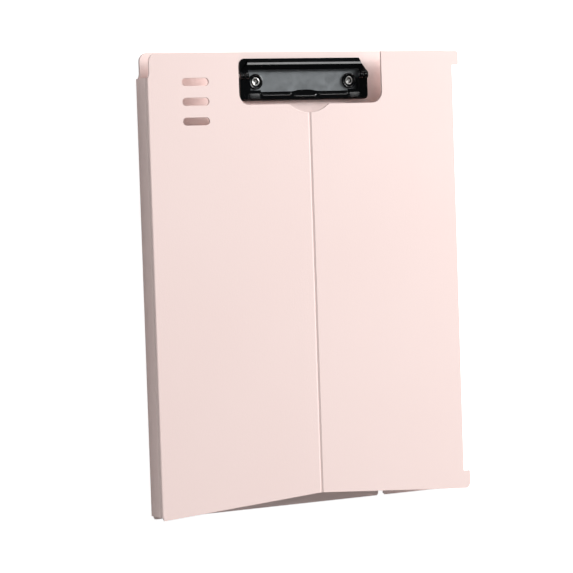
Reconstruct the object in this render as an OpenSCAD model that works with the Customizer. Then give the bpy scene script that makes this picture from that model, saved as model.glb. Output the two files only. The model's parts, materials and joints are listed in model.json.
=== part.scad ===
// A4 storage clipboard folder with a fold-over cover and a flat lever clip.
// It lies on its back panel: +Z out of the cover, +Y towards the clip, spine on the -X side.
// One sheet of polypropylene makes the back panel, the spine and the two leaves of the cover,
// joined by pressed creases. The lacquered steel clip is held to the back panel by two eyelets.

/* [Folder] */
// Overall width, from the outer face of the spine to the cover's tabs
folder_w = 250; // [235:1:300]
// Overall length of the back panel
folder_h = 315; // [300:1:350]
// Overall depth when closed, from the back face to the cover's face
folder_d = 15.5; // [14:0.5:30]
// Thickness of the back panel
board_t = 2.0; // [1.8:0.1:3]
// Thickness of the spine and of the cover
sheet_t = 1.5; // [1.2:0.1:2]
// Radius of the sheet's free corners
corner_r = 6; // [3:0.5:9]
// How far the cover's top edge stops below the back panel's
cover_setback = 1.0; // [0:0.5:3]
// Running gap between a panel and the crease it turns on
hinge_gap = 0.1; // [0.05:0.05:0.2]

/* [Spine] */
// Length at the top where the spine is cut away
relief_len = 17.5; // [12:0.5:25]
// Set-back of the free edges beside that cut, from the spine's outer face
relief_in = 3.0; // [2.6:0.1:5]
// Radius of the curve that runs from the free edge into the crease
relief_r = 5; // [3:0.5:8]
// Height of the spine's lower end above the folder's bottom edge
spine_foot = 2.5; // [1:0.5:5]

/* [Cover] */
// Rise of the bottom edge at the centre crease
bottom_rise = 8.3; // [0:0.5:14]
// Depth of the finger recess along the opening edge
recess_d = 5.4; // [2:0.2:9]
// Length of the tab above the recess
tab_top = 10; // [8:0.5:20]
// Length of the tab below the recess
tab_low = 12.9; // [8:0.1:20]
// Radius of the tabs' outer corners
tab_r = 4.5; // [2:0.5:7]
// Gap between the two leaves at the centre crease
fold_gap = 0.3; // [0.2:0.1:0.6]
// Half width of the groove pressed along the centre crease
groove = 0.7; // [0.4:0.1:0.9]
// Clearance of the folded outer leaf from the spine
fold_clear = 0.5; // [0.3:0.1:2]

/* [Notch round the clip] */
// Gap between the clip and each side of the notch
notch_side = 6.2; // [4:0.1:12]
// Gap between the clip's jaw and the bottom of the notch
notch_foot = 2.9; // [1:0.1:5]
// Radius of the notch's lower corners
notch_r = 8; // [3:0.5:12]
// Width of the thumb cut below the notch
thumb_w = 32; // [20:1:40]
// Depth of the thumb cut
thumb_d = 5.9; // [3:0.1:9]

/* [Slots] */
// Number of slots beside the spine
slot_count = 3; // [1:1:5]
// Length of a slot
slot_l = 20.4; // [10:0.1:30]
// Width of a slot
slot_w = 5.3; // [3:0.1:8]
// Distance from one slot to the next
slot_pitch = 13.3; // [9:0.1:20]
// Distance from the spine's outer face to the slots
slot_in = 27.3; // [15:0.1:35]
// Distance from the cover's top edge to the first slot's centre
slot_down = 19.6; // [10:0.1:30]

/* [Bottom edge] */
// Width of the small notch in the back panel's bottom edge
nick_w = 5; // [3:0.5:8]
// Depth of that notch
nick_d = 5; // [3:0.5:8]
// Distance from the folder's middle to that notch
nick_x = 57.5; // [30:0.5:80]

/* [Clip] */
// Width of the lever over its side walls
clip_w = 102; // [92:0.2:112]
// Distance of the clip's middle from the folder's middle
clip_x = 3.2; // [-5:0.1:8]
// Distance from the back panel's top edge to the clip's press bar
clip_setback = 4.8; // [2:0.1:8]
// Thickness of the clip's steel
steel_t = 0.9; // [0.7:0.1:1.1]
// Distance from the pivot to the press bar's edge
bar_reach = 11.8; // [10.5:0.1:14]
// Distance from the pivot to the jaw's edge
jaw_reach = 17.3; // [16:0.1:24]
// Distance from the lever's side to the press bar's end wall
bar_in = 6.3; // [5:0.1:9]
// Height of the lever's arms above the back panel
arm_h = 4.2; // [4:0.1:5]
// Height of the press bar's ridge above the back panel
ridge_h = 5.6; // [5.2:0.1:8]
// Width of the flat along the top of the ridge
ridge_w = 1.4; // [1:0.1:2]
// Width of an arm beside its pivot
arm_w = 6.3; // [5:0.1:7]
// Depth of the press bar, from the lever's window to its edge
bar_d = 7.8; // [6:0.1:8.5]
// Depth of the jaw, from the lever's window to its edge
jaw_d = 6.2; // [5:0.1:7]
// Radius of the jaw's outer corners
jaw_r = 3.2; // [2:0.1:4]
// Extra width of an arm between its pivot and the jaw
arm_step = 1.6; // [0:0.1:2]
// Radius of the corner at the upper end of the left arm
shoulder_r = 3.4; // [2:0.1:4]
// Gap between the jaw and the back panel with no paper in the clip
jaw_gap = 0.15; // [0.1:0.05:0.3]
// Angle through which the lever opens
open_angle = 16; // [12:1:16]

/* [Clip base] */
// Height of the pivot above the back panel
pivot_h = 2.8; // [2.7:0.1:3]
// Diameter of a pivot pin
pin_d = 1.8; // [1.4:0.1:2]
// Radius of the ear round its pin
ear_r = 1.9; // [1.6:0.1:2.2]
// Gap between the ear and the hood that the lever has over it
hood_gap = 0.25; // [0.2:0.05:0.4]
// Length of the sight slot in each hood
sight_l = 3.8; // [3:0.1:4.2]
// Width of the sight slot
sight_w = 1.3; // [1:0.1:1.8]
// Gap between a wall of the lever and what it runs beside
side_gap = 0.5; // [0.3:0.1:0.8]
// Radial clearance of the lever's bores on the pins
run_gap = 0.05; // [0.02:0.01:0.1]

/* [Springs] */
// Diameter of the spring wire
wire_d = 0.6; // [0.5:0.05:0.7]
// Mean diameter of the coil
coil_d = 3.1; // [2.8:0.1:3.2]
// Full turns of each spring
coil_turns = 2; // [1:1:2]
// Advance of one turn along the pin
coil_pitch = 1.05; // [1.05:0.01:1.15]

/* [Eyelets] */
// Distance from the lever's side to an eyelet
eyelet_in = 13.5; // [12:0.1:30]
// Distance of the eyelets from the pivot, towards the jaw
eyelet_back = 4.0; // [3:0.1:6]
// Diameter of an eyelet's blind bore
bore_d = 4.0; // [3:0.1:4.4]
// Depth of that bore below the eyelet's seat
bore_depth = 1.0; // [0.6:0.1:1.6]
// Wall thickness of an eyelet's barrel
barrel_t = 0.4; // [0.3:0.1:0.5]
// Radius of an eyelet's rolled head
roll_r = 0.5; // [0.4:0.05:0.6]
// Diameter of a backing washer
washer_d = 9.5; // [9:0.5:11]
// Thickness of a backing washer
washer_t = 0.5; // [0.4:0.1:0.6]
// Diameter of the black cup washer under an eyelet's head
cup_d = 9.8; // [9:0.1:11]
// Height of the cup washer's round rim
cup_h = 0.9; // [0.7:0.1:1]
// Thickness of its floor, on which the eyelet's head sits
cup_floor = 0.35; // [0.3:0.05:0.5]

/* [Hidden] */
$fn = 48;
eps = 0.01;

// Folder: edges, crease axes and the bands of depth that the sheet fills
x_left = -folder_w / 2;
x_right = folder_w / 2;
y_low = -folder_h / 2;
y_top = folder_h / 2;
half_t = sheet_t / 2;
axis_x = x_left + half_t;
back_axis_z = half_t;
front_axis_z = folder_d - half_t;
board_x = x_left + sheet_t + 1.5 * hinge_gap;
leaf_x = axis_x + half_t + hinge_gap;
leaf_z = folder_d - sheet_t;
cover_top = y_top - cover_setback;
spine_top = y_top - relief_len;
spine_low = y_low + spine_foot;
// The outer leaf is the shorter one, so that it folds back over the inner leaf and clears the spine.
crease_x = x_left + (folder_w + sheet_t + fold_clear) / 2;
web_t = 0.4;
web_w = 2.5;
web_clear = 0.1;

// Clip: pivot, walls and levels
pivot_y = y_top - clip_setback - bar_reach;
wall_x = clip_w / 2 - steel_t;
arm_x = clip_w / 2 - arm_w;
eyelet_x = clip_w / 2 - eyelet_in;
base_top = board_t + steel_t;
seat_z = base_top + cup_floor;
base_x = wall_x - side_gap;
coil_stop = 60;
coil_x = base_x - wire_d / 2;
coil_end_x = coil_x - coil_pitch * (coil_turns + coil_stop / 360);
sight_x = (coil_x + coil_end_x) / 2 - 0.7;
ear_x = coil_end_x - wire_d / 2 - steel_t - 0.3;
window_top = bar_reach - bar_d;
window_low = jaw_d - jaw_reach;
hood_in = ear_r + hood_gap;
hood_r = hood_in + steel_t;
shoulder_y = hood_r - hood_gap;
bar_flare = 1.1;
shoulder_top = shoulder_y + bar_in - bar_flare;
base_low = window_low - 1;
base_high = window_top + 1;
wing_y = coil_d / 2 + wire_d / 2;
wall_low = 0.25;
head_t = 0.4;
head_r = pin_d / 2 + 0.6;
bore_r = bore_d / 2;
barrel_r = bore_r + barrel_t;
hole_r = barrel_r + 0.1;
tail_t = 0.45;
tail_r = barrel_r + 1;
sink_d = washer_t + tail_t + 0.05;
sink_r = washer_d / 2 + 0.2;
leg_l = 6;
leg_under = 1.1;
leg_gap = 0.05;
sides = 6;
rings = 8;

notch_w = clip_w + 2 * notch_side;
notch_low = pivot_y - jaw_reach - notch_foot;
thumb_r = (thumb_w * thumb_w / 4 + thumb_d * thumb_d) / (2 * thumb_d);

PINK = [0.93, 0.83, 0.81];
PINK_SHADE = [0.86, 0.75, 0.73];
BLACK = [0.07, 0.08, 0.09];
GREY = [0.36, 0.38, 0.40];
NICKEL = [0.80, 0.80, 0.78];

// ---- Shared 2D and 3D forms

// What a round corner of radius r takes off a square corner at the origin, sheet towards +X +Y
module corner_cut(r) {
    difference() {
        translate([-eps, -eps]) square(r + eps);
        translate([r, r]) circle(r);
    }
}

// A shape given in Y and Z, extruded along X from x0 to x1
module along_x(x0, x1) {
    translate([x0, 0, 0]) rotate([90, 0, 90]) linear_extrude(x1 - x0) children();
}

// A shape given in X and Z, extruded along Y from y0 to y1
module along_y(y0, y1) {
    translate([0, y1, 0]) rotate([90, 0, 0]) linear_extrude(y1 - y0) children();
}

// Puts a shape drawn about the clip's pivot in its place on the folder
module at_clip() {
    translate([clip_x, pivot_y, board_t]) children();
}

// Points of an arc, for a bend in the sheet
function arc(cx, cy, r, a0, a1, n = 6) =
    [for (i = [0:n]) let (a = a0 + (a1 - a0) * i / n) [cx + r * cos(a), cy + r * sin(a)]];

// ---- Folder

// The cut at the top of the spine, which leaves the sheet's upper corner standing free
module relief_cut(edge_top) {
    free_x = x_left + relief_in;
    translate([x_left - 1, spine_top + relief_blend()])
        square([relief_in + 1, edge_top - spine_top]);
    translate([free_x - relief_r, spine_top + relief_blend()]) circle(relief_r);
    translate([free_x, edge_top]) rotate(-90) corner_cut(corner_r);
}

// Length of the curve that ends on the crease at the spine's upper end
function relief_blend() =
    let (run = relief_r - (relief_in - sheet_t - hinge_gap)) sqrt(relief_r * relief_r - run * run);

module back_outline() {
    difference() {
        translate([board_x, y_low]) square([x_right - board_x, folder_h]);
        relief_cut(y_top);
        translate([x_right, y_top]) rotate(180) corner_cut(corner_r);
        translate([x_right, y_low]) rotate(90) corner_cut(corner_r);
        foot_cut();
        translate([nick_x, y_low]) nick();
    }
}

// The slanted cut at the lower end of a crease
module foot_cut() {
    polygon([
        [x_left - 1, y_low - 1], [x_left + spine_foot + 1.5, y_low - 1],
        [x_left + spine_foot + 0.5, y_low], [x_left + sheet_t, y_low + spine_foot],
        [x_left - 1, y_low + spine_foot]
    ]);
}

// The small notch in the bottom edge, wider at its mouth
module nick() {
    flare = 1.2;
    polygon([
        [-nick_w / 2 - flare, -eps], [nick_w / 2 + flare, -eps], [nick_w / 2, flare],
        [nick_w / 2, nick_d], [-nick_w / 2, nick_d], [-nick_w / 2, flare]
    ]);
}

module back_panel() {
    color(PINK) difference() {
        linear_extrude(board_t) back_outline();
        for (side = [-1, 1]) translate([clip_x + side * eyelet_x, pivot_y - eyelet_back, 0]) {
            translate([0, 0, -eps]) cylinder(r = hole_r, h = board_t + 2 * eps);
            translate([0, 0, -eps]) cylinder(r = sink_r, h = sink_d + eps);
        }
    }
}

// The living hinge between back panel and spine: a round bead with a tongue to the back panel
module back_crease() {
    color(PINK_SHADE) along_y(spine_low, spine_top) {
        translate([axis_x, back_axis_z]) circle(half_t);
        translate([axis_x, 0]) square([board_x - axis_x, sheet_t]);
    }
}

module spine_panel() {
    color(PINK_SHADE) translate([x_left, spine_low, sheet_t + hinge_gap])
        cube([sheet_t, spine_top - spine_low, leaf_z - sheet_t - hinge_gap]);
}

// The living hinge between spine and cover: a round bead with a tongue to the spine
module front_crease() {
    color(PINK_SHADE) along_y(spine_low, spine_top) {
        translate([axis_x, front_axis_z]) circle(half_t);
        translate([x_left, leaf_z]) square([sheet_t, half_t]);
    }
}

// The opening in the cover round the clip, with the thumb cut on the crease
module notch_cut() {
    translate([clip_x - notch_w / 2, notch_low]) difference() {
        square([notch_w, cover_top - notch_low + 1]);
        corner_cut(notch_r);
        translate([notch_w, 0]) rotate(90) corner_cut(notch_r);
    }
    translate([crease_x, notch_low + thumb_r - thumb_d]) circle(thumb_r);
}

module slot() {
    translate([slot_w / 2, -slot_w / 2]) square([slot_l - slot_w, slot_w]);
    for (x = [slot_w / 2, slot_l - slot_w / 2]) translate([x, 0]) circle(slot_w / 2);
}

// The groove pressed in the cover's face along the centre crease
module crease_groove() {
    along_y(y_low - 1, y_top + 1)
        polygon([
            [crease_x - groove - eps, folder_d + eps], [crease_x, folder_d - groove],
            [crease_x + groove + eps, folder_d + eps]
        ]);
}

// Room for the crease's web in the inner face of a leaf
module web_rebate(x0, x1, depth) {
    translate([x0, y_low - 1, leaf_z - eps]) cube([x1 - x0, folder_h + 2, depth + eps]);
}

module cover_inner_leaf() {
    edge_x = crease_x - fold_gap / 2;
    rise = bottom_rise * (edge_x - x_left) / (crease_x - x_left);
    color(PINK) difference() {
        translate([0, 0, leaf_z]) linear_extrude(sheet_t) difference() {
            polygon([
                [leaf_x, y_low], [edge_x, y_low + rise], [edge_x, cover_top], [leaf_x, cover_top]
            ]);
            relief_cut(cover_top);
            foot_cut();
            notch_cut();
            for (i = [0:slot_count - 1])
                translate([x_left + slot_in, cover_top - slot_down - i * slot_pitch]) slot();
        }
        crease_groove();
        web_rebate(crease_x - web_w / 2, crease_x, web_t);
    }
}

// The thin web that joins the two leaves under the groove
module centre_crease() {
    color(PINK_SHADE) difference() {
        translate([crease_x - web_w / 2, y_low, leaf_z]) cube([web_w, notch_low - y_low, web_t]);
        translate([0, 0, leaf_z - eps]) linear_extrude(web_t + 2 * eps) {
            notch_cut();
            translate([crease_x - web_w, y_low - 1]) square([2 * web_w, bottom_rise + 1]);
        }
    }
}

module cover_outer_leaf() {
    edge_x = crease_x + fold_gap / 2;
    rise = bottom_rise * (x_right - edge_x) / (x_right - crease_x);
    color(PINK) difference() {
        translate([0, 0, leaf_z]) linear_extrude(sheet_t) difference() {
            polygon([
                [edge_x, y_low + rise], [x_right, y_low], [x_right, cover_top], [edge_x, cover_top]
            ]);
            notch_cut();
            translate([x_right - recess_d, y_low + tab_low])
                square([recess_d + 1, cover_top - tab_top - y_low - tab_low]);
            translate([x_right, cover_top]) rotate(180) corner_cut(tab_r / 2);
            translate([x_right, y_low]) rotate(90) corner_cut(tab_r);
        }
        crease_groove();
        web_rebate(crease_x, crease_x + web_w / 2 + web_clear, web_t + web_clear);
    }
}

// ---- Clip base

module base_outline() {
    translate([-base_x, base_low]) square([2 * base_x, wing_y - base_low]);
    translate([-ear_x - steel_t, base_low]) square([2 * (ear_x + steel_t), base_high - base_low]);
}

// The bent-up ear that holds a pivot pin
module ear() {
    along_x(ear_x, ear_x + steel_t) difference() {
        union() {
            translate([-ear_r, 0]) square([2 * ear_r, pivot_h]);
            translate([0, pivot_h]) circle(ear_r);
        }
        translate([0, pivot_h]) circle(pin_d / 2 + run_gap);
    }
}

module clip_base() {
    color(GREY) at_clip() difference() {
        union() {
            linear_extrude(steel_t) base_outline();
            ear();
            mirror([1, 0, 0]) ear();
        }
        for (side = [-1, 1]) translate([side * eyelet_x, -eyelet_back, -eps])
            cylinder(r = hole_r, h = steel_t + 2 * eps);
    }
}

// ---- Clip lever: one pressed pan with a window, side walls, a ridged press bar and a jaw

// Plan outline of the pan, drawn in by a wall's thickness for its hollow
module lever_plan(inset) {
    half = clip_w / 2 - inset;
    bar = clip_w / 2 - bar_in - inset * 0.8;
    low = -jaw_reach + inset;
    r = jaw_r - inset;
    difference() {
        polygon([
            [-half, low], [half, low], [half, shoulder_y], [bar + bar_flare, shoulder_top],
            [bar, bar_reach - inset], [-bar, bar_reach - inset], [-bar - bar_flare, shoulder_top],
            [-half, shoulder_y]
        ]);
        translate([-half, low]) corner_cut(r);
        translate([half, low]) rotate(90) corner_cut(r);
    }
}

// Side outline of the pan, drawn in below its skin by the same thickness
module lever_side(inset) {
    bend = 1.6;
    top = arm_h - inset;
    ridge_y = window_top + bar_d * 0.55;
    low = inset > 0 ? -1 : 0;
    ridge_fall = 0.2;
    edge_fall = 1.9;
    polygon(concat(
        [[-jaw_reach - 1, low + jaw_gap], [-jaw_reach, low + jaw_gap]],
        arc(-jaw_reach + bend + inset * 0.5, top - bend, bend, 180, 90),
        [[window_top - 0.3, top]],
        [[ridge_y - ridge_w / 2, ridge_h - inset]],
        [[ridge_y + ridge_w / 2, ridge_h - inset - ridge_fall]],
        [[bar_reach + 1, ridge_h - inset - edge_fall]],
        [[bar_reach + 1, (bar_reach + 1) * tan(open_angle) + wall_low + low], [0, wall_low + low]],
        [[-jaw_reach + 2, wall_low + low]]
    ));
}

// The upper end of the left arm, which runs on at its full width to the press bar's edge
module arm_end_plan(inset) {
    width = bar_in + steel_t / 2;
    translate([inset - clip_w / 2, bar_reach - inset]) difference() {
        translate([0, shoulder_y - bar_reach]) square([width - inset, bar_reach - shoulder_y]);
        rotate(-90) corner_cut(shoulder_r - inset);
    }
}

module arm_end() {
    intersection() {
        difference() {
            linear_extrude(arm_h) difference() {
                arm_end_plan(0);
                lever_plan(steel_t);
            }
            translate([0, 0, -eps]) linear_extrude(arm_h - steel_t + eps) difference() {
                arm_end_plan(steel_t);
                lever_plan(0);
            }
        }
        along_x(-clip_w, clip_w) lever_side(0);
    }
}

// The round hood over an ear and its spring, open inside, with a sight slot
module hood_shell() {
    intersection() {
        linear_extrude(pivot_h + hood_r) lever_plan(0);
        along_x(arm_x, clip_w / 2) intersection() {
            translate([0, pivot_h]) circle(hood_r);
            translate([-hood_r, arm_h - steel_t]) square([2 * hood_r, hood_r + steel_t]);
        }
    }
}

module hood_hollow() {
    along_x(arm_x - arm_step - eps, wall_x) translate([0, pivot_h]) circle(hood_in);
    translate([sight_x - sight_w / 2, -sight_l / 2 - 0.2, pivot_h])
        cube([sight_w, sight_l, hood_r + eps]);
}

// The opening in the pan that shows the base
module lever_window() {
    step_y = -1.2;
    low_x = arm_x - arm_step;
    polygon([
        [-low_x, window_low], [low_x, window_low], [low_x, step_y - arm_step], [arm_x, step_y],
        [arm_x, window_top], [-arm_x, window_top], [-arm_x, step_y], [-low_x, step_y - arm_step]
    ]);
}

// The flat corners of the jaw and the shallow tongue between its ribs
module jaw_lands() {
    land_w = 8;
    tongue_w = 21;
    tongue_d = 1.2;
    tongue_r = (tongue_w * tongue_w / 4 + tongue_d * tongue_d) / (2 * tongue_d);
    for (side = [-1, 1]) translate([side * (arm_x - arm_step - land_w / 2), window_low])
        square([land_w, 2.2], center = true);
    intersection() {
        translate([0, window_low + tongue_d - tongue_r]) circle(tongue_r, $fn = 160);
        translate([-tongue_w / 2, window_low - 0.2]) square([tongue_w, tongue_d + 0.3]);
    }
}

// The rib pressed along the jaw, left out at the tongue
module jaw_ribs() {
    rib_r = 0.75;
    rib_y = -jaw_reach + jaw_d * 0.66;
    for (side = [-1, 1]) mirror([side < 0 ? 1 : 0, 0, 0])
        along_x(11, arm_x - arm_step - 8.5) translate([rib_y, arm_h - rib_r + 0.35]) circle(rib_r);
}

module clip_lever() {
    color(BLACK) at_clip() difference() {
        union() {
            difference() {
                intersection() {
                    linear_extrude(ridge_h + 1) lever_plan(0);
                    along_x(-clip_w, clip_w) lever_side(0);
                }
                intersection() {
                    translate([0, 0, -1]) linear_extrude(ridge_h + 2) lever_plan(steel_t);
                    along_x(-clip_w, clip_w) lever_side(steel_t);
                }
                translate([0, 0, -1]) linear_extrude(ridge_h + 2) lever_window();
            }
            translate([0, 0, arm_h - steel_t]) linear_extrude(steel_t) jaw_lands();
            jaw_ribs();
            arm_end();
            hood_shell();
            mirror([1, 0, 0]) hood_shell();
        }
        hood_hollow();
        mirror([1, 0, 0]) hood_hollow();
        along_x(-clip_w, clip_w) translate([0, pivot_h]) circle(pin_d / 2 + run_gap);
    }
}

// ---- Pins, springs and eyelets

// A headed pin, riveted in the ear, on which the lever's wall and the spring turn
module pivot_pin() {
    head_x = clip_w / 2 + 0.1;
    color(NICKEL) at_clip() translate([0, 0, pivot_h]) rotate([0, 90, 0]) {
        translate([0, 0, ear_x - 0.5]) cylinder(d = pin_d, h = head_x - ear_x + 0.5 + eps);
        translate([0, 0, head_x]) cylinder(r1 = head_r, r2 = head_r - 0.3, h = head_t);
    }
}

// The spring's wire: a leg on the base's edge, the coil round the pin going inwards, and a leg
// that bears on the press bar's underside
coil_steps = coil_turns * rings;
stop_angle = coil_stop - 90;
function coil_angle(i) = -90 + 360 * i / rings;
function on_coil(x, a) = [x, coil_d / 2 * cos(a), pivot_h + coil_d / 2 * sin(a)];
function coil_point(i) = on_coil(coil_x - coil_pitch * i / rings, coil_angle(i));
coil_end = on_coil(coil_end_x, stop_angle);
leg_edge = [coil_end_x, window_top, arm_h - steel_t - wire_d / 2 - leg_gap];
leg_run = (leg_edge - coil_end) / norm(leg_edge - coil_end);
leg_angle = atan2(leg_run[2], leg_run[1]) - 90;
wire_path = concat(
    [coil_point(0) - [0, leg_l, 0]],
    [for (i = [0:coil_steps]) coil_point(i)],
    [coil_end, leg_edge + leg_under * leg_run]
);
wire_angles = concat(
    [coil_angle(0)], [for (i = [0:coil_steps]) coil_angle(i)],
    [(stop_angle + leg_angle) / 2, leg_angle]
);
wire_points = [
    for (k = [0:len(wire_path) - 1], s = [0:sides - 1])
        let (a = 360 * s / sides, out = [0, cos(wire_angles[k]), sin(wire_angles[k])])
            wire_path[k] + wire_d / 2 * (cos(a) * out + sin(a) * [1, 0, 0])
];
wire_faces = concat(
    [for (k = [0:len(wire_path) - 2], s = [0:sides - 1], half = [0, 1])
        let (a = k * sides + s, b = k * sides + (s + 1) % sides)
            half == 0 ? [a, b, b + sides] : [a, b + sides, a + sides]],
    [for (s = [1:sides - 2]) [0, s + 1, s]],
    [for (s = [1:sides - 2]) let (e = (len(wire_path) - 1) * sides) [e, e + s, e + s + 1]]
);
// Least gap between points of the coil that lie half a turn or more apart
spring_gap = min([
    for (i = [0:coil_steps], j = [0:coil_steps]) if (j - i >= rings / 2)
        norm(coil_point(j) - coil_point(i)) - wire_d
]);
echo(spring_gap = spring_gap);

module spring() {
    color(NICKEL) at_clip() polyhedron(wire_points, wire_faces);
}

// Puts a shape drawn about an eyelet's axis at the clip's right end
module at_eyelet() {
    translate([clip_x + eyelet_x, pivot_y - eyelet_back, 0]) children();
}

// The black cup washer on the base plate, with a round rim about the eyelet's head
module cup() {
    rim_x = cup_d / 2 - cup_h;
    color(BLACK) at_eyelet() translate([0, 0, base_top]) rotate_extrude() {
        translate([hole_r, 0]) square([rim_x - hole_r, cup_floor]);
        translate([rim_x, 0]) intersection() {
            circle(cup_h);
            translate([-cup_h, 0]) square([2 * cup_h, cup_h]);
        }
    }
}

// A tubular rivet: its flat head lies in the washer behind, its hollow end is rolled over the cup
module eyelet() {
    color(NICKEL) at_eyelet() rotate_extrude() {
        square_from(sink_d - washer_t - tail_t, tail_r, tail_t);
        square_from(sink_d - washer_t, barrel_r, seat_z - bore_depth - sink_d + washer_t);
        translate([bore_r, seat_z - bore_depth]) square([barrel_t, bore_depth]);
        translate([bore_r + roll_r, seat_z]) intersection() {
            circle(roll_r);
            translate([-roll_r, 0]) square([2 * roll_r, roll_r]);
        }
    }
}

// A rectangle against the axis, from height z, with width w and height h
module square_from(z, w, h) {
    translate([0, z]) square([w, h]);
}

module washer() {
    color(NICKEL) at_eyelet() translate([0, 0, sink_d - washer_t]) difference() {
        cylinder(d = washer_d, h = washer_t);
        translate([0, 0, -eps]) cylinder(r = hole_r, h = washer_t + 2 * eps);
    }
}

// Mirrors a piece drawn at the clip's right end to its left end
module left_hand() {
    translate([2 * clip_x, 0, 0]) mirror([1, 0, 0]) children();
}

back_panel();
back_crease();
spine_panel();
front_crease();
cover_inner_leaf();
centre_crease();
cover_outer_leaf();
clip_base();
clip_lever();
left_hand() pivot_pin();  // pivot_pin_left
pivot_pin();  // pivot_pin_right
left_hand() spring();  // spring_left
spring();  // spring_right
left_hand() cup();  // cup_left
cup();  // cup_right
left_hand() eyelet();  // eyelet_left
eyelet();  // eyelet_right
left_hand() washer();  // washer_left
washer();  // washer_right
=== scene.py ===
import json
import math

import bmesh
import bpy
from mathutils import Matrix, Vector


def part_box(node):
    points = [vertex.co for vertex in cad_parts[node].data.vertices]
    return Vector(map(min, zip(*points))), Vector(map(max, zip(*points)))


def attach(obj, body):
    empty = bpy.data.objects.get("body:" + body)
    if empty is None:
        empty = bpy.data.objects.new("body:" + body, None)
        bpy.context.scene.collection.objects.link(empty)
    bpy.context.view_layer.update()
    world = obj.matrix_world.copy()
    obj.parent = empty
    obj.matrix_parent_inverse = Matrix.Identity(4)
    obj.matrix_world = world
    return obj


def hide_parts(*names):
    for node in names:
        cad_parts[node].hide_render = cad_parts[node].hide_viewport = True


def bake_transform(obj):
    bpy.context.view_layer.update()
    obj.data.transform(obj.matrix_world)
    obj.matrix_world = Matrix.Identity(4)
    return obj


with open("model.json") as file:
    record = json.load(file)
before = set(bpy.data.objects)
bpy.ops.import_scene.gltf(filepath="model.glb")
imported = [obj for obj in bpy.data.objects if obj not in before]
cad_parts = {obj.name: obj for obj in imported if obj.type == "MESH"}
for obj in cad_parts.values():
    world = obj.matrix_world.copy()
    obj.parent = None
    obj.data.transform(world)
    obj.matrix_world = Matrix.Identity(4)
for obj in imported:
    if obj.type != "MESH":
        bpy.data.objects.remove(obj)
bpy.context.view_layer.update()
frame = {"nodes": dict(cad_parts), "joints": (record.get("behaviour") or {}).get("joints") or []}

# ---- The photograph's view
# The folder lies on its back and is seen nearly from above, from the spine's side, with a long
# lens. The camera comes from a perspective fit of the folder's photographed edges.
lens_mm, sensor_mm, sight_end = 160.5, 36, 20
eye = Vector((-0.8925, 0.0802, 1.5422))
sight = Vector((0.49473, -0.04814, -0.86771)).normalized()
camera_up = Vector((0.05254, 0.99829, -0.02543))
camera_right = sight.cross(camera_up).normalized()
camera_up = camera_right.cross(sight)
camera = bpy.data.objects.new("camera", bpy.data.cameras.new("camera"))
camera.data.lens = lens_mm
camera.data.sensor_width = sensor_mm
camera.data.clip_end = sight_end
turn = Matrix((camera_right, camera_up, -sight)).transposed().to_4x4()
camera.matrix_world = Matrix.Translation(eye) @ turn
scene = bpy.context.scene
scene.collection.objects.link(camera)
scene.camera = camera
scene.view_settings.view_transform = "Standard"

# ---- The studio
# A pale floor that shows white to the camera and keeps the folder's shadow, in a dim, even room.
# Soft lamps stand to the right and at the far side, low ones fill the gap under the cover, and a
# narrow one draws the line along the press bar.
floor_half, floor_z = 3.0, -0.0003
floor_shade, floor_rough = 0.86, 0.9
camera_lift = 0.78
room_strength, room_tint = 0.05, (1, 0.99, 0.985, 1)
lamp_distance, lamp_side = 3.0, 1.05
folder_middle = Vector((0, 0, 0.01))
clip_middle = Vector((0, 0.148, 0.01))


def new_material(name):
    material = bpy.data.materials.new(name)
    material.use_nodes = True
    tree = material.node_tree
    return material, tree, tree.nodes["Principled BSDF"]


def add_node(tree, kind, **settings):
    """Adds a node and sets its inputs by name, or else its own properties."""
    made = tree.nodes.new(kind)
    for key, value in settings.items():
        if key in made.inputs:
            made.inputs[key].default_value = value
        else:
            setattr(made, key, value)
    return made


floor_mesh = bpy.data.meshes.new("floor")
floor_mesh.from_pydata(
    [(-floor_half, -floor_half, floor_z), (floor_half, -floor_half, floor_z),
     (floor_half, floor_half, floor_z), (-floor_half, floor_half, floor_z)],
    [], [(0, 1, 2, 3)])
floor = bpy.data.objects.new("floor", floor_mesh)
scene.collection.objects.link(floor)
floor_paint, tree, shader = new_material("floor_paint")
shader.inputs["Base Color"].default_value = (floor_shade, floor_shade, floor_shade, 1)
shader.inputs["Roughness"].default_value = floor_rough
shader.inputs["Specular IOR Level"].default_value = 0
lift = add_node(tree, "ShaderNodeEmission", Color=(1, 1, 1, 1))
rays = add_node(tree, "ShaderNodeLightPath")
strength = add_node(tree, "ShaderNodeMath", operation="MULTIPLY")
strength.inputs[1].default_value = camera_lift
tree.links.new(rays.outputs["Is Camera Ray"], strength.inputs[0])
tree.links.new(strength.outputs[0], lift.inputs["Strength"])
both = add_node(tree, "ShaderNodeAddShader")
tree.links.new(shader.outputs[0], both.inputs[0])
tree.links.new(lift.outputs[0], both.inputs[1])
tree.links.new(both.outputs[0], tree.nodes["Material Output"].inputs["Surface"])
floor_mesh.materials.append(floor_paint)

world = bpy.data.worlds.new("studio")
scene.world = world
world.use_nodes = True
world.node_tree.nodes["Background"].inputs["Color"].default_value = room_tint
world.node_tree.nodes["Background"].inputs["Strength"].default_value = room_strength


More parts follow.
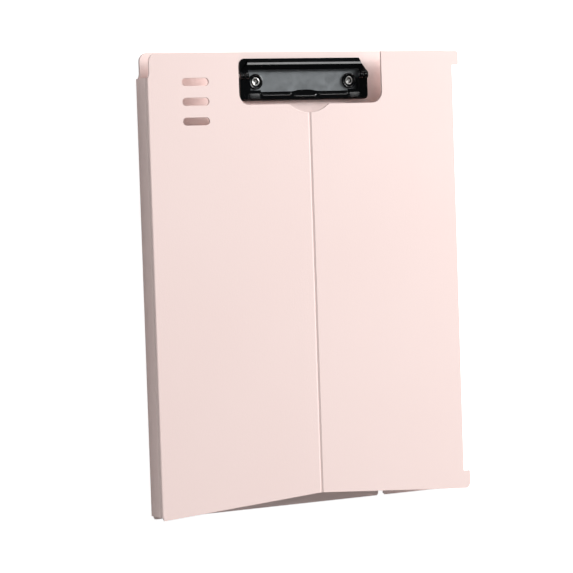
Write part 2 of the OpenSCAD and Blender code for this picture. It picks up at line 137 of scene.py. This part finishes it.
def soft_lamp(name, azimuth, elevation, width, height, watts, aim):
    """A rectangular lamp that faces aim, its width in line with X as far as it can be."""
    turn, rise = math.radians(azimuth), math.radians(elevation)
    back = Vector((math.cos(rise) * math.cos(turn), math.cos(rise) * math.sin(turn),
                   math.sin(rise)))
    across = (Vector((1, 0, 0)) - back.x * back).normalized()
    lamp = bpy.data.lights.new(name, "AREA")
    lamp.shape = "RECTANGLE"
    lamp.size = width
    lamp.size_y = height
    lamp.energy = watts
    holder = bpy.data.objects.new(name, lamp)
    scene.collection.objects.link(holder)
    axes = Matrix((across, back.cross(across), back)).transposed().to_4x4()
    holder.matrix_world = Matrix.Translation(lamp_distance * back + aim) @ axes


for name, azimuth, elevation, watts in (("key", 25, 25, 122), ("low_right", 10, 12, 47),
                                        ("far_side", 75, 20, 27), ("far_left", 120, 15, 5),
                                        ("spine_side", 195, 28, 11), ("near_left", -135, 50, 5),
                                        ("overhead", 90, 88, 7)):
    soft_lamp(name, azimuth, elevation, lamp_side, lamp_side, watts, folder_middle)
soft_lamp("line", azimuth=28.8, elevation=54.9, width=0.5, height=0.24, watts=4.1,
          aim=clip_middle)

# ---- The sheet
# Back panel, spine and cover are one sheet of pale pink polypropylene with a fine matte grain.
# Each panel is a copy of its solid with joined faces, and its punched edges are slightly rounded.
sheet_pink = (0.905, 0.735, 0.70, 1)
sheet_rose = (0.88, 0.70, 0.665, 1)
# The back panel, seen mostly in shade under the cover, gets a paler, greyer copy of the pink: a
# painted tint for how its shade looks.
board_shade_pink = (0.895, 0.75, 0.72, 1)
board_shade_rose = (0.87, 0.715, 0.685, 1)
punched_edge, edge_segments = 0.00018, 2
grain_scale, cloud_scale = 1500.0, 9.0
fibre_squeeze = (1.0, 0.35, 1.0)
smoothest, roughest = 0.5, 0.66
grain_height = 0.0001
panel_bump, crease_bump = 0.35, 0.1
sheet_specular = 0.35
weld_distance, touch_distance = 2e-6, 1e-7
flat_angle = 0.5


def grain_group():
    """Pebbles and fibres as a height, slow clouds as a shade, and a polish for the roughness."""
    group = bpy.data.node_groups.new("moulded_grain", "ShaderNodeTree")
    for name, value in (("Grain", grain_scale), ("Cloud", cloud_scale)):
        made = group.interface.new_socket(name, in_out="INPUT", socket_type="NodeSocketFloat")
        made.default_value = value
    for name in ("Height", "Shade", "Polish"):
        group.interface.new_socket(name, in_out="OUTPUT", socket_type="NodeSocketFloat")
    inlet = group.nodes.new("NodeGroupInput")
    outlet = group.nodes.new("NodeGroupOutput")
    place = group.nodes.new("ShaderNodeTexCoord")
    pebble = add_node(group, "ShaderNodeTexNoise", Detail=2.0, Roughness=0.6)
    stretch = add_node(group, "ShaderNodeMapping", Scale=fibre_squeeze)
    fibre = add_node(group, "ShaderNodeTexNoise", Detail=1.0, Roughness=0.5)
    cloud = add_node(group, "ShaderNodeTexNoise", Detail=2.0, Roughness=0.5)
    link = group.links.new
    link(place.outputs["Object"], pebble.inputs["Vector"])
    link(place.outputs["Object"], stretch.inputs["Vector"])
    link(stretch.outputs[0], fibre.inputs["Vector"])
    link(place.outputs["Object"], cloud.inputs["Vector"])
    link(inlet.outputs["Grain"], pebble.inputs["Scale"])
    link(inlet.outputs["Grain"], fibre.inputs["Scale"])
    link(inlet.outputs["Cloud"], cloud.inputs["Scale"])
    relief = add_node(group, "ShaderNodeMath", operation="ADD")
    link(pebble.outputs["Fac"], relief.inputs[0])
    link(fibre.outputs["Fac"], relief.inputs[1])
    link(relief.outputs[0], outlet.inputs["Height"])
    link(cloud.outputs["Fac"], outlet.inputs["Shade"])
    polish = add_node(group, "ShaderNodeMapRange")
    polish.inputs["To Min"].default_value = smoothest
    polish.inputs["To Max"].default_value = roughest
    link(pebble.outputs["Fac"], polish.inputs["Value"])
    link(polish.outputs[0], outlet.inputs["Polish"])
    return group


moulded_grain = grain_group()


def sheet_material(name, pale, deep, bump):
    material, tree, shader = new_material(name)
    grain = add_node(tree, "ShaderNodeGroup", node_tree=moulded_grain)
    tone = add_node(tree, "ShaderNodeMix", data_type="RGBA")
    tone.inputs["A"].default_value = deep
    tone.inputs["B"].default_value = pale
    relief = add_node(tree, "ShaderNodeBump", Strength=bump, Distance=grain_height)
    link = tree.links.new
    link(grain.outputs["Shade"], tone.inputs["Factor"])
    link(tone.outputs["Result"], shader.inputs["Base Color"])
    link(grain.outputs["Polish"], shader.inputs["Roughness"])
    link(grain.outputs["Height"], relief.inputs["Height"])
    link(relief.outputs[0], shader.inputs["Normal"])
    shader.inputs["Specular IOR Level"].default_value = sheet_specular
    return material


sheet_finish = sheet_material("sheet_finish", sheet_pink, sheet_rose, panel_bump)
board_shade_finish = sheet_material("board_shade_finish", board_shade_pink, board_shade_rose, panel_bump)
crease_finish = sheet_material("crease_finish", sheet_pink, sheet_rose, crease_bump)


def solid_copy(node):
    """The node's solid as one closed mesh with joined faces."""
    shape = bmesh.new()
    shape.from_mesh(frame["nodes"][node].data)
    bmesh.ops.remove_doubles(shape, verts=shape.verts, dist=weld_distance)
    bmesh.ops.dissolve_limit(shape, angle_limit=math.radians(flat_angle), verts=shape.verts,
                             edges=shape.edges)
    return shape


def cut_back(shape, point, towards):
    """Takes off what lies past point in the direction towards, and closes the cut."""
    geometry = shape.verts[:] + shape.edges[:] + shape.faces[:]
    result = bmesh.ops.bisect_plane(shape, geom=geometry, dist=touch_distance,
                                    plane_co=point, plane_no=towards, clear_outer=True)
    rim = [part for part in result["geom_cut"] if isinstance(part, bmesh.types.BMEdge)]
    bmesh.ops.holes_fill(shape, edges=rim)


def finished(shape, name, material, edge, smooth=35.0):
    """Makes the piece. Edges that turn by more than smooth degrees are rounded by a bevel of the
    width edge, or stay sharp where that is 0."""
    mesh = bpy.data.meshes.new(name)
    shape.to_mesh(mesh)
    shape.free()
    mesh.materials.append(material)
    mesh.shade_smooth()
    if not edge:
        mesh.set_sharp_from_angle(angle=math.radians(smooth))
    piece = bpy.data.objects.new(name, mesh)
    scene.collection.objects.link(piece)
    if edge:
        bevel = piece.modifiers.new("rounded_edge", "BEVEL")
        bevel.width = edge
        bevel.segments = edge_segments
        bevel.limit_method = "ANGLE"
        bevel.angle_limit = math.radians(smooth)
        bevel.use_clamp_overlap = True
        bevel.miter_outer = "MITER_ARC"
    normals = piece.modifiers.new("flat_faces", "WEIGHTED_NORMAL")
    normals.keep_sharp = True
    return piece


def joint_place(name):
    """A point on the axis of the named joint."""
    return next(Vector(j["pos_m"]) for j in frame["joints"] if j["name"] == name)


# ---- The panels
# The back panel, the spine and the cover's two leaves are punched out of the one moulded sheet.
# Each stops a little short of its creases, where the bent strip of the sheet takes over.
bend_radius = 0.0022
fold_half = 0.0013
corner_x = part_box("spine_panel")[0][0]
cover_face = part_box("cover_inner_leaf")[1][2]
fold_axis = joint_place("cover_fold")


def panel_piece(node, name, material, body, *cuts):
    """A panel of the sheet: its solid, cut back at each point in the direction beside it."""
    panel = solid_copy(node)
    for point, towards in cuts:
        cut_back(panel, point, towards)
    piece = finished(panel, name, material, punched_edge)
    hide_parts(node)
    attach(piece, body)


panel_piece("back_panel", "back_sheet", board_shade_finish, "back",
            ((corner_x + bend_radius, 0, 0), (-1, 0, 0)))
panel_piece("spine_panel", "spine_sheet", sheet_finish, "spine",
            ((0, 0, cover_face - bend_radius), (0, 0, 1)),
            ((0, 0, bend_radius), (0, 0, -1)))
panel_piece("cover_inner_leaf", "cover_inner_sheet", sheet_finish, "cover_inner",
            ((corner_x + bend_radius, 0, 0), (-1, 0, 0)),
            ((fold_axis.x - fold_half, 0, 0), (1, 0, 0)))
panel_piece("cover_outer_leaf", "cover_outer_sheet", sheet_finish, "cover_outer",
            ((fold_axis.x + fold_half, 0, 0), (-1, 0, 0)))

# ---- The creases
# Each crease is the sheet itself, bent or pressed thin, so it turns smoothly between two panels.
# It laps over both panels by half a millimetre and stands a hair proud of them.
lap = 0.0005
proud = 0.00001
crease_turn = 14.0


def strip_piece(name, profile, low, high):
    """A closed profile in X and Z, drawn out along Y."""
    shape = bmesh.new()
    ends = [[shape.verts.new((x, y, z)) for x, z in profile] for y in (low, high)]
    count = len(profile)
    for k in range(count):
        other = (k + 1) % count
        shape.faces.new((ends[0][k], ends[0][other], ends[1][other], ends[1][k]))
    shape.faces.new(ends[0][::-1])
    shape.faces.new(ends[1])
    bmesh.ops.recalc_face_normals(shape, faces=shape.faces)
    return finished(shape, name, crease_finish, 0, smooth=crease_turn)


def arc(cx, cz, radius, start, end, steps=10):
    """Points of an arc in X and Z, angles in degrees from +X."""
    turns = [math.radians(start + (end - start) * k / steps) for k in range(steps + 1)]
    return [(cx + radius * math.cos(t), cz + radius * math.sin(t)) for t in turns]


def corner_profile(face_z, sheet, board, up):
    """The bent corner between the spine and the panel whose outer face is at face_z."""
    centre_x = corner_x + bend_radius
    centre_z = face_z - up * bend_radius
    outer = bend_radius + proud
    inner_x = bend_radius - sheet - proud
    inner_z = bend_radius - board - proud
    path = [(centre_x - outer, centre_z - up * lap)]
    path += [(x, centre_z + up * (z - centre_z))
             for x, z in arc(centre_x, centre_z, outer, 180, 90)]
    path += [(centre_x + lap, centre_z + up * outer)]
    path += [(centre_x + lap, centre_z + up * inner_z)]
    path += [(centre_x - inner_x, centre_z + up * inner_z)]
    path += [(centre_x - inner_x, centre_z - up * lap)]
    return path


spine_low, spine_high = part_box("spine_panel")[0][1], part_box("spine_panel")[1][1]
sheet_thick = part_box("spine_panel")[1][0] - corner_x
board_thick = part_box("back_panel")[1][2]

front_bend = strip_piece("front_bend", corner_profile(cover_face, sheet_thick, sheet_thick, 1),
                         spine_low, spine_high)
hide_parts("front_crease")
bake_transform(front_bend)

back_bend = strip_piece("back_bend", corner_profile(0.0, sheet_thick, board_thick, -1),
                        spine_low, spine_high)
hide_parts("back_crease")
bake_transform(back_bend)

# The groove falls gently, then steeply, and rises in one long slope to the outer leaf.
groove_depth = 0.00045
groove_step = (-0.40 * fold_half, -0.25 * groove_depth)
groove_low = (-0.20 * fold_half, -groove_depth)
groove = [(-fold_half - lap, proud), (-fold_half, proud), groove_step, groove_low,
          (fold_half, proud), (fold_half + lap, proud)]
web_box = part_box("centre_crease")
leaf_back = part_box("cover_inner_leaf")[0][2]
profile = [(fold_axis.x + x, cover_face + z) for x, z in groove]
profile += [(fold_axis.x + fold_half + lap, leaf_back - proud), (fold_axis.x, leaf_back - proud),
            (fold_axis.x - fold_half - lap, leaf_back - proud)]
fold_web = strip_piece("fold_web", profile, web_box[0][1], web_box[1][1])
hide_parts("centre_crease")
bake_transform(fold_web)

# ---- The clip's base plate
# A flat plate of steel under a dark grey plating, cut out and bent up to an ear at each end.
# It stands on the back panel and is held there by the two eyelets.
plate_edge = 0.00012
plate_grey, plate_rough = (0.24, 0.255, 0.265), 0.36
cloud_size, cloud_detail = 220.0, 3.0
polish_low, polish_high = 0.8, 1.25
tone_low = 0.85


def cloud_group():
    """Small clouds over a metal or lacquer: a tone between two colours, and a polish."""
    group = bpy.data.node_groups.new("metal_clouds", "ShaderNodeTree")
    for name, side, kind in (("Dull", "INPUT", "Color"), ("Bright", "INPUT", "Color"),
                             ("Smooth", "INPUT", "Float"), ("Rough", "INPUT", "Float"),
                             ("Tone", "OUTPUT", "Color"), ("Polish", "OUTPUT", "Float")):
        group.interface.new_socket(name, in_out=side, socket_type="NodeSocket" + kind)
    inlet = group.nodes.new("NodeGroupInput")
    outlet = group.nodes.new("NodeGroupOutput")
    place = group.nodes.new("ShaderNodeTexCoord")
    cloud = add_node(group, "ShaderNodeTexNoise", Scale=cloud_size, Detail=cloud_detail)
    tone = add_node(group, "ShaderNodeMix", data_type="RGBA")
    polish = group.nodes.new("ShaderNodeMapRange")
    link = group.links.new
    link(place.outputs["Object"], cloud.inputs["Vector"])
    link(cloud.outputs["Fac"], tone.inputs["Factor"])
    link(inlet.outputs["Dull"], tone.inputs["A"])
    link(inlet.outputs["Bright"], tone.inputs["B"])
    link(tone.outputs["Result"], outlet.inputs["Tone"])
    link(cloud.outputs["Fac"], polish.inputs["Value"])
    link(inlet.outputs["Smooth"], polish.inputs["To Min"])
    link(inlet.outputs["Rough"], polish.inputs["To Max"])
    link(polish.outputs[0], outlet.inputs["Polish"])
    return group


metal_clouds = cloud_group()


def metal_material(name, colour, roughness, metallic=1.0, specular=0.5):
    """A metal or lacquer whose tone and polish vary slightly in the clouds."""
    material, tree, shader = new_material(name)
    clouds = add_node(tree, "ShaderNodeGroup", node_tree=metal_clouds)
    clouds.inputs["Dull"].default_value = tuple(tone_low * c for c in colour) + (1,)
    clouds.inputs["Bright"].default_value = colour + (1,)
    clouds.inputs["Smooth"].default_value = roughness * polish_low
    clouds.inputs["Rough"].default_value = roughness * polish_high
    tree.links.new(clouds.outputs["Tone"], shader.inputs["Base Color"])
    tree.links.new(clouds.outputs["Polish"], shader.inputs["Roughness"])
    shader.inputs["Metallic"].default_value = metallic
    shader.inputs["Specular IOR Level"].default_value = specular
    return material


plate_finish = metal_material("plate_finish", plate_grey, plate_rough)
base_plate = finished(solid_copy("clip_base"), "base_plate", plate_finish,
                      plate_edge)
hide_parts("clip_base")
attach(base_plate, "back")

# ---- The lever
# One pressed pan of steel under a black stove lacquer, with soft edges where it is drawn. It
# turns on two pins in the plate's ears. The ridge on its press bar has a narrow flat on top.
drawn_edge = 0.00022
ridge_turn = 15.5
lacquer_black, lacquer_rough, lacquer_specular = (0.0012, 0.0015, 0.002), 0.13, 0.4
lacquer = metal_material("black_lacquer", lacquer_black, lacquer_rough, metallic=0.0,
                         specular=lacquer_specular)
lever = finished(solid_copy("clip_lever"), "lever_pan", lacquer, drawn_edge,
                 smooth=ridge_turn)
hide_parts("clip_lever")
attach(lever, "lever")

# ---- The beads and pads pressed along the jaw
# Low, flat-topped ribs that stiffen the jaw: one to each side of the tongue and a short one on
# it, with a sloping pad beside each end. They are raised from the same black pan.
pivot = joint_place("clip_lever_pivot")
jaw_rise = 0.0014
bead_y, tongue_y, pad_y = -0.0132, -0.0140, -0.0140
tongue_half = 0.0088
bead_inner, bead_outer = 0.0110, 0.0346
pad_inner, pad_outer = 0.0352, 0.0450
bead_section = ((-0.00095, -0.00005), (-0.00045, 0.00046), (0.00045, 0.00034),
                (0.0009, -0.00005))
pad_section = ((-0.0019, -0.00005), (-0.0017, 0.00044), (0.0017, 0.00005), (0.0019, -0.00005))
end_fade, end_height = 0.0012, 0.02
fine_edge = 0.00008
for name, x0, x1, y, section in (
        ("jaw_bead_left", -bead_outer, -bead_inner, bead_y, bead_section),
        ("jaw_bead_right", bead_inner, bead_outer, bead_y, bead_section),
        ("jaw_bead_middle", -tongue_half, tongue_half, tongue_y, bead_section),
        ("jaw_pad_left", -pad_outer, -pad_inner, pad_y, pad_section),
        ("jaw_pad_right", pad_inner, pad_outer, pad_y, pad_section)):
    shape = bmesh.new()
    rings = []
    for x, height in ((x0, end_height), (x0 + end_fade, 1), (x1 - end_fade, 1), (x1, end_height)):
        rings.append([shape.verts.new(pivot + Vector((x, y + along, jaw_rise
                                                      + (up * height if up > 0 else up))))
                      for along, up in section])
    for near, far in zip(rings, rings[1:]):
        for k in range(len(section)):
            other = (k + 1) % len(section)
            shape.faces.new((near[k], near[other], far[other], far[k]))
    shape.faces.new(rings[0][::-1])
    shape.faces.new(rings[-1])
    bmesh.ops.recalc_face_normals(shape, faces=shape.faces)
    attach(finished(shape, name, lacquer, fine_edge), "lever")

# ---- Washers and pins
# Small turned and stamped parts of nickel-plated and of plain steel. The washers lie in the
# board's back, and the pins stand in the plate's ears and carry the lever.
nickel_white, nickel_rough = (0.78, 0.77, 0.74), 0.24
steel_grey, steel_rough = (0.5, 0.5, 0.5), 0.3
nickel = metal_material("nickel_plate", nickel_white, nickel_rough)
turned_steel = metal_material("turned_steel", steel_grey, steel_rough)
for side in ("left", "right"):
    for kind, finish, slot in (("washer", nickel, "nickel"),
                               ("pivot_pin", turned_steel, "pin_steel")):
        node = kind + "_" + side
        part = finished(solid_copy(node), node + "_metal", finish, fine_edge)
        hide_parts(node)
        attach(part, "back")

# ---- The cups
# Black-lacquered cup washers of drawn steel on the base plate, with a round rim that stands up
# about the eyelet. The eyelet's rolled end holds them down by their floor.
cup_outer, cup_height, cup_floor = 0.0054, 0.0015, 0.00035
rim_radius, wall_slant = 0.00065, 0.0002
barrel_radius = 0.0024
lathe_steps, roll_turn = 64, 30.0


def turned_piece(name, outline, node, material):
    """A closed profile of radius and height, turned about the upright axis of the node's solid.
    A point on that axis is one vertex, and a side that lies along it makes no face."""
    low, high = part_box(node)
    axis_x, axis_y = (low[0] + high[0]) / 2, (low[1] + high[1]) / 2
    turns = [math.radians(360 * k / lathe_steps) for k in range(lathe_steps)]
    shape = bmesh.new()
    rings = []
    for radius, z in outline:
        around = turns if radius else turns[:1]
        ring = [shape.verts.new((axis_x + radius * math.cos(t), axis_y + radius * math.sin(t), z))
                for t in around]
        rings.append(ring * (lathe_steps // len(ring)))
    for near, far in zip(rings, rings[1:] + rings[:1]):
        for k in range(lathe_steps):
            corners = list(dict.fromkeys((near[k - 1], near[k], far[k], far[k - 1])))
            if len(corners) > 2:
                shape.faces.new(corners)
    bmesh.ops.recalc_face_normals(shape, faces=shape.faces)
    piece = finished(shape, name, material, 0, smooth=roll_turn)
    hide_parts(node)
    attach(piece, "back")


for side in ("left", "right"):
    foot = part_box("cup_" + side)[0][2]
    rim = cup_outer - rim_radius
    outline = [(barrel_radius, foot), (cup_outer, foot)]
    outline += arc(rim, foot + cup_height - rim_radius, rim_radius, 0, 180)
    outline += [(rim - rim_radius - wall_slant, foot + cup_floor),
                (barrel_radius, foot + cup_floor)]
    turned_piece("cup_" + side + "_metal", outline, "cup_" + side, lacquer)

# ---- The eyelets
# Tubular rivets of nickel-plated steel. The flat head lies behind the board, and the hollow end
# is rolled over the cup's floor. The bore's wall and the outer rim of its dish are painted near
# black, a painted shade for the shadow inside the bore.
seat_height, bore_floor, bore_dish, dish_steps = 0.00325, 0.0020, 0.0008, 6
bore_radius, roll_radius = 0.0020, 0.0005
head_radius, head_height = 0.0034, 0.00045
bore_shade_low, bore_shade_high = bore_floor + 0.00045, seat_height + 0.00005
painted_bore_shade = (0.05, 0.048, 0.045, 1)
dull_nickel, dull_rough = (0.66, 0.65, 0.63), 0.34
eyelet_nickel = metal_material("eyelet_nickel", dull_nickel, dull_rough)
# Painted shade: a band in height over the bore's wall is mixed to a near-black colour.
tree = eyelet_nickel.node_tree
shader = tree.nodes["Principled BSDF"]
plated = shader.inputs["Base Color"].links[0].from_socket
place = add_node(tree, "ShaderNodeTexCoord")
parts = tree.nodes.new("ShaderNodeSeparateXYZ")
bore_shade_mask = add_node(tree, "ShaderNodeMath", operation="COMPARE")
bore_shade_mask.inputs[1].default_value = (bore_shade_low + bore_shade_high) / 2
bore_shade_mask.inputs[2].default_value = (bore_shade_high - bore_shade_low) / 2
bore_shade_mix = add_node(tree, "ShaderNodeMix", data_type="RGBA")
bore_shade_mix.inputs["B"].default_value = painted_bore_shade
tree.links.new(place.outputs["Object"], parts.inputs[0])
tree.links.new(parts.outputs["Z"], bore_shade_mask.inputs[0])
tree.links.new(bore_shade_mask.outputs[0], bore_shade_mix.inputs["Factor"])
tree.links.new(plated, bore_shade_mix.inputs["A"])
tree.links.new(bore_shade_mix.outputs["Result"], shader.inputs["Base Color"])
for side in ("left", "right"):
    head_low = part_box("eyelet_" + side)[0][2]
    outline = [(0, head_low), (head_radius, head_low), (head_radius, head_low + head_height),
               (barrel_radius, head_low + head_height), (barrel_radius, seat_height)]
    outline += arc(bore_radius + roll_radius, seat_height, roll_radius, 0, 180)
    outline += [(bore_radius * k / dish_steps, bore_floor + bore_dish * (k / dish_steps) ** 2)
                for k in range(dish_steps, -1, -1)]
    turned_piece("eyelet_" + side + "_metal", outline, "eyelet_" + side, eyelet_nickel)

# ---- The springs
# Two turns of drawn steel wire round each pin. The lower leg lies on the base plate, and the
# upper one bears on the press bar's underside.
wire_radius, wire_sides = 0.0003, 16
coil_radius = 0.00155
coil_outer, coil_inner = 0.0493, 0.047025
coil_turns, coil_steps = 2.07, 72
lower_leg = 0.006
leg_tip = ((0.0040, 0.00015), (0.0050, 0.00052))
wire_grey, wire_rough = (0.80, 0.80, 0.78), 0.36
wire_finish = metal_material("spring_wire", wire_grey, wire_rough)


def wire_tree():
    """Draws a round wire along the path of edges that it is given."""
    tree = bpy.data.node_groups.new("drawn_wire", "GeometryNodeTree")
    tree.interface.new_socket("Path", in_out="INPUT", socket_type="NodeSocketGeometry")
    tree.interface.new_socket("Wire radius", in_out="INPUT", socket_type="NodeSocketFloat")
    tree.interface.new_socket("Wire", in_out="OUTPUT", socket_type="NodeSocketGeometry")
    inlet = tree.nodes.new("NodeGroupInput")
    outlet = tree.nodes.new("NodeGroupOutput")
    rail = tree.nodes.new("GeometryNodeMeshToCurve")
    ring = add_node(tree, "GeometryNodeCurvePrimitiveCircle", Resolution=wire_sides)
    drawn = tree.nodes.new("GeometryNodeCurveToMesh")
    drawn.inputs["Fill Caps"].default_value = True
    smooth = tree.nodes.new("GeometryNodeSetShadeSmooth")
    real = tree.nodes.new("GeometryNodeRealizeInstances")
    paint = add_node(tree, "GeometryNodeSetMaterial", Material=wire_finish)
    link = tree.links.new
    link(inlet.outputs["Path"], rail.inputs["Mesh"])
    link(inlet.outputs["Wire radius"], ring.inputs["Radius"])
    link(rail.outputs["Curve"], drawn.inputs["Curve"])
    link(ring.outputs["Curve"], drawn.inputs["Profile Curve"])
    link(drawn.outputs["Mesh"], smooth.inputs["Geometry"])
    link(smooth.outputs["Geometry"], real.inputs["Geometry"])
    link(real.outputs["Geometry"], paint.inputs["Geometry"])
    link(paint.outputs["Geometry"], outlet.inputs["Wire"])
    return tree


drawn_wire = wire_tree()
for side, hand in (("left", -1), ("right", 1)):
    path = [(coil_outer, -lower_leg, -coil_radius)]
    for k in range(coil_steps + 1):
        angle = math.radians(-90 + 360 * coil_turns * k / coil_steps)
        path.append((coil_outer + (coil_inner - coil_outer) * k / coil_steps,
                     coil_radius * math.cos(angle), coil_radius * math.sin(angle)))
    path += [(coil_inner, y, z) for y, z in leg_tip]
    rail_mesh = bpy.data.meshes.new("wire_path")
    rail_mesh.from_pydata([pivot + Vector((hand * x, y, z)) for x, y, z in path],
                          [(k, k + 1) for k in range(len(path) - 1)], [])
    rail = bpy.data.objects.new("wire_path", rail_mesh)
    scene.collection.objects.link(rail)
    draw = rail.modifiers.new("wire", "NODES")
    draw.node_group = drawn_wire
    for socket in drawn_wire.interface.items_tree:
        if socket.name == "Wire radius":
            draw[socket.identifier] = wire_radius
    drawn = rail.evaluated_get(bpy.context.evaluated_depsgraph_get())
    coil = bpy.data.objects.new("spring_wire_" + side, bpy.data.meshes.new_from_object(drawn))
    scene.collection.objects.link(coil)
    bpy.data.objects.remove(rail)
    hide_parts("spring_" + side)
    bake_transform(coil)
